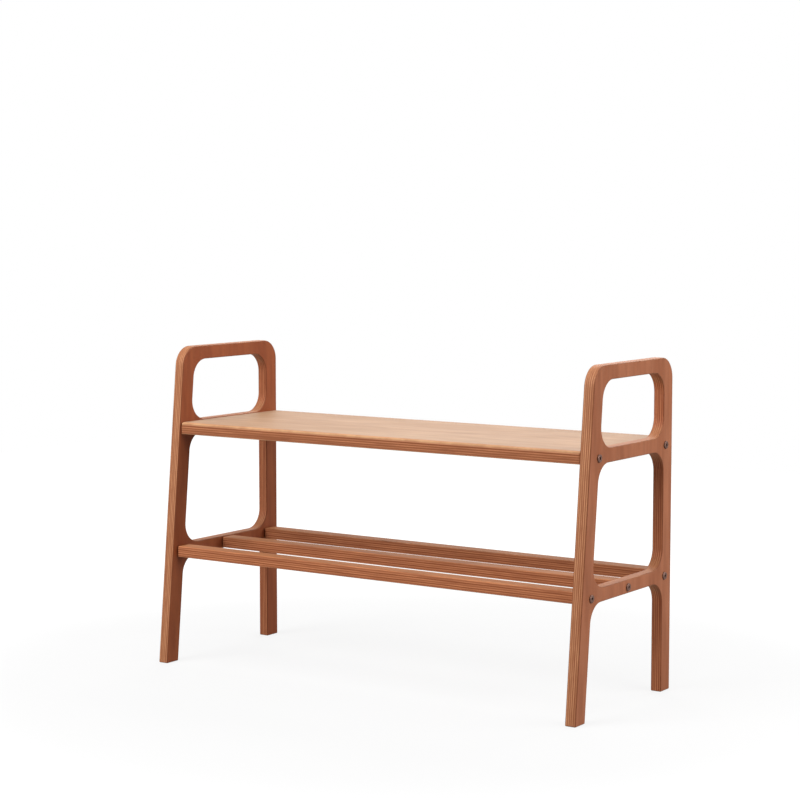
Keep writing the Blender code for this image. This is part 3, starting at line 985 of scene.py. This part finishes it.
class BENCH_OT_hidden_fixings(Operator):
    """Dress the inserts and dowels inside the boards"""

    bl_idname = "bench.hidden_fixings"
    bl_label = "Inserts and Dowels"

    def execute(self, context):
        finish = context.scene.bench_fixing_finish
        brass = mottled(
            "insert_brass", finish.brass, finish.brass_dark, BRASS_SPOTS, finish.brass_roughness,
            1.0)
        beech = mottled(
            "dowel_beech", finish.dowel, finish.dowel_dark, DOWEL_GRAIN, finish.dowel_roughness,
            0.0)
        for name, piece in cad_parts.items():
            if name.startswith("insert_"):
                dress(piece, brass)
            elif name.startswith("dowel_"):
                dress(piece, beech)
        return {"FINISHED"}


class BENCH_OT_studio(Operator):
    """Set up the floor, the light and the camera"""

    bl_idname = "bench.studio"
    bl_label = "Studio"

    def execute(self, context):
        scene, studio = context.scene, context.scene.bench_studio
        scene.view_settings.view_transform = "Standard"
        self.add_floor(studio)
        self.add_world(scene, studio)
        for name, (place, size) in LAMPS.items():
            self.add_lamp(name, place, size, getattr(studio, name))
        self.add_camera(scene, studio)
        return {"FINISHED"}

    @staticmethod
    def seen_directly(tree, studio):
        """One for rays that show the white surround itself, and less for those that mirror it."""
        path = tree.nodes.new("ShaderNodeLightPath").outputs
        seen = calc(tree, "MAXIMUM", path["Is Camera Ray"], path["Is Transmission Ray"])
        in_mirror = calc(tree, "MULTIPLY", path["Is Glossy Ray"], studio.mirrored)
        return calc(tree, "MAXIMUM", seen, in_mirror)

    def add_floor(self, studio):
        """Floor that shows a faint shadow under the bench and goes to white further off."""
        shape = bmesh.new()
        bmesh.ops.create_grid(shape, x_segments=1, y_segments=1, size=FLOOR_HALF)
        bmesh.ops.translate(shape, vec=(0.0, 0.0, -FLOOR_DROP), verts=shape.verts)
        mesh = store(shape, "floor")
        floor = add_object("floor", mesh)
        material, tree, shader = new_material("floor_paint")
        tree.nodes.remove(shader)
        seen = self.seen_directly(tree, studio)
        shade = rgba([studio.floor_shade] * 3)
        paint = node(tree, "ShaderNodeBsdfDiffuse", {
            "Color": blend_colour(tree, seen, rgba(studio.floor), shade)})
        place = tree.nodes.new("ShaderNodeTexCoord").outputs["Object"]
        away = node(tree, "ShaderNodeVectorMath", {0: place}, operation="LENGTH").outputs["Value"]
        reach = studio.shadow_reach
        near_to_far = ramp(tree, away, reach / 2, reach, studio.floor_white, 1.0)
        white = node(tree, "ShaderNodeEmission", {
            "Strength": calc(tree, "MULTIPLY", seen, near_to_far)})
        both = node(tree, "ShaderNodeAddShader", {0: paint.outputs[0], 1: white.outputs[0]})
        tree.links.new(both.outputs[0], tree.nodes["Material Output"].inputs["Surface"])
        mesh.materials.append(material)

    def add_world(self, scene, studio):
        """White surround that gives little light of its own."""
        world = bpy.data.worlds.new("studio")
        scene.world = world
        world.use_nodes = True
        tree = world.node_tree
        strength = calc(tree, "MAXIMUM", self.seen_directly(tree, studio), studio.even)
        white = node(tree, "ShaderNodeBackground", {"Color": rgba(WHITE), "Strength": strength})
        tree.links.new(white.outputs[0], tree.nodes["World Output"].inputs["Surface"])

    @staticmethod
    def add_lamp(name, place, size, strength):
        """Soft box that points at the bench."""
        lamp = bpy.data.lights.new(name, "AREA")
        lamp.energy = strength
        lamp.shape = "RECTANGLE"
        lamp.size, lamp.size_y = size
        box = add_object(name, lamp)
        box.location = place
        box.rotation_euler = (LAMP_AIM - box.location).to_track_quat("-Z", "Y").to_euler()

    @staticmethod
    def add_camera(scene, studio):
        """Camera that looks at its aim from the photograph's side."""
        camera = add_object("camera", bpy.data.cameras.new("camera"))
        turn, rise = studio.azimuth, studio.elevation
        back = Vector((
            math.sin(turn) * math.cos(rise), -math.cos(turn) * math.cos(rise), math.sin(rise)))
        camera.location = Vector(studio.aim) + back * studio.distance
        camera.rotation_euler = (-back).to_track_quat("-Z", "Y").to_euler()
        camera.data.lens = studio.lens
        scene.camera = camera


class BENCH_PT_looks(Panel):
    """Builds the bench piece by piece"""

    bl_idname = "BENCH_PT_looks"
    bl_label = "Shoe Bench"
    bl_space_type = "VIEW_3D"
    bl_region_type = "UI"
    bl_category = "Shoe Bench"

    def draw(self, context):
        for key, group in SETTINGS.items():
            box = self.layout.box()
            settings = getattr(context.scene, key)
            for name in group.__annotations__:
                box.prop(settings, name)
        for operator in OPERATORS:
            self.layout.operator(operator.bl_idname)


OPERATORS = (
    BENCH_OT_side_frames,
    BENCH_OT_seat,
    BENCH_OT_rails,
    BENCH_OT_bolts,
    BENCH_OT_hidden_fixings,
    BENCH_OT_studio,
)
CLASSES = (*SETTINGS.values(), *OPERATORS, BENCH_PT_looks)


def register():
    """Add the classes and the settings."""
    for made in CLASSES:
        bpy.utils.register_class(made)
    for key, group in SETTINGS.items():
        setattr(bpy.types.Scene, key, PointerProperty(type=group))


def unregister():
    """Take the settings and the classes away."""
    for key in SETTINGS:
        delattr(bpy.types.Scene, key)
    for made in reversed(CLASSES):
        bpy.utils.unregister_class(made)


def main():
    """Build the bench and its studio."""
    register()
    bpy.ops.bench.side_frames()
    bpy.ops.bench.seat()
    bpy.ops.bench.rails()
    bpy.ops.bench.bolts()
    bpy.ops.bench.hidden_fixings()
    bpy.ops.bench.studio()


if __name__ == "__main__":
    main()
